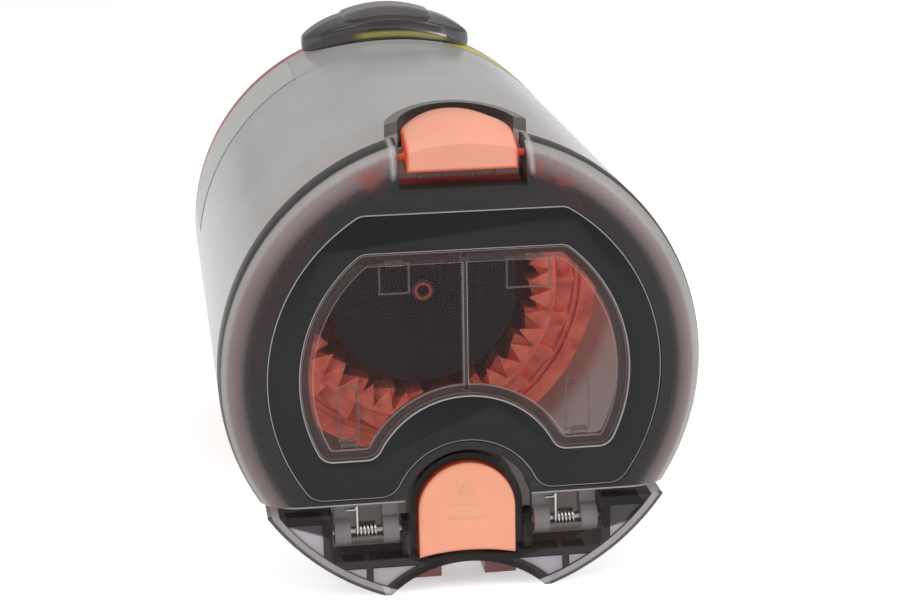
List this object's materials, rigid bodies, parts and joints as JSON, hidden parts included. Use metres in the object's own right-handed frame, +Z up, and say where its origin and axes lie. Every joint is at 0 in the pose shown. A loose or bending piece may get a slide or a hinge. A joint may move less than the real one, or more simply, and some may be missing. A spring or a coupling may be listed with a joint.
{
  "type": "cyclone dust bin",
  "caption": "Smoky cylindrical vacuum-cleaner dust bin lying on its side, with a hinged windowed lid, push latch, release button and a red swirl separator inside.",
  "frame": {"origin": "centre of the rear mouth, on the bin axis, in the plane of the rear face", "axes": "+Y along the bin axis out of the rear mouth, the lid faces -Y; +Z up, away from the tube channel; +X to the right seen from the lid"},
  "size_m": [0.11, 0.155, 0.1149],
  "materials": {
    "smoky_plastic": "smoky clear polycarbonate, polished",
    "smoky_hood": "darker smoky clear plastic, polished",
    "smoky_lid": "smoky clear plastic, rim finely textured",
    "clear_plastic": "clear plastic",
    "gloss_black": "glossy black trim",
    "red_plastic": "satin red moulding",
    "red_rubber": "soft red seal",
    "orange_plastic": "satin coral orange moulding",
    "dark_plastic": "dark moulding",
    "screen_plastic": "dark perforated disc",
    "black_rubber": "matt black rubber",
    "pin_steel": "ground steel",
    "spring_steel": "drawn steel wire"
  },
  "bodies": {
    "bin": {"bin_body": "smoky_plastic", "catch_hood": "smoky_hood", "separator_ring": "red_plastic", "core_tube": "dark_plastic", "core_screen": "screen_plastic", "screen_screw": "orange_plastic", "rear_gasket": "black_rubber", "outlet_seal": "black_rubber", "hinge_pin_left": "pin_steel", "hinge_pin_right": "pin_steel"},
    "lid": {"lid_cover": "smoky_lid", "lid_bezel": "gloss_black", "lid_window": "clear_plastic", "lid_seal": "red_rubber", "hinge_spring_left": "spring_steel", "hinge_spring_right": "spring_steel"},
    "latch": {"latch": "orange_plastic", "latch_spring": "spring_steel"},
    "button": {"release_button": "orange_plastic", "release_spring": "spring_steel"}
  },
  "joints": [
    {"name": "lid_hinge", "type": "hinge", "parent": "bin", "child": "lid", "pos_m": [0, -0.15, -0.0366], "axis": [1, 0, 0], "range_deg": [0, 90], "deforming": ["hinge_spring_left", "hinge_spring_right"]},
    {"name": "latch_rock", "type": "hinge", "parent": "lid", "child": "latch", "pos_m": [0, -0.15, 0.0502], "axis": [1, 0, 0], "range_deg": [0, 8], "stiffness_Nm_per_rad": 0.05, "deforming": ["latch_spring"]},
    {"name": "button_push", "type": "slide", "parent": "bin", "child": "button", "axis": [0, 1, 0], "range_m": [0, 0.003], "stiffness_N_per_m": 400, "deforming": ["release_spring"]}
  ]
}
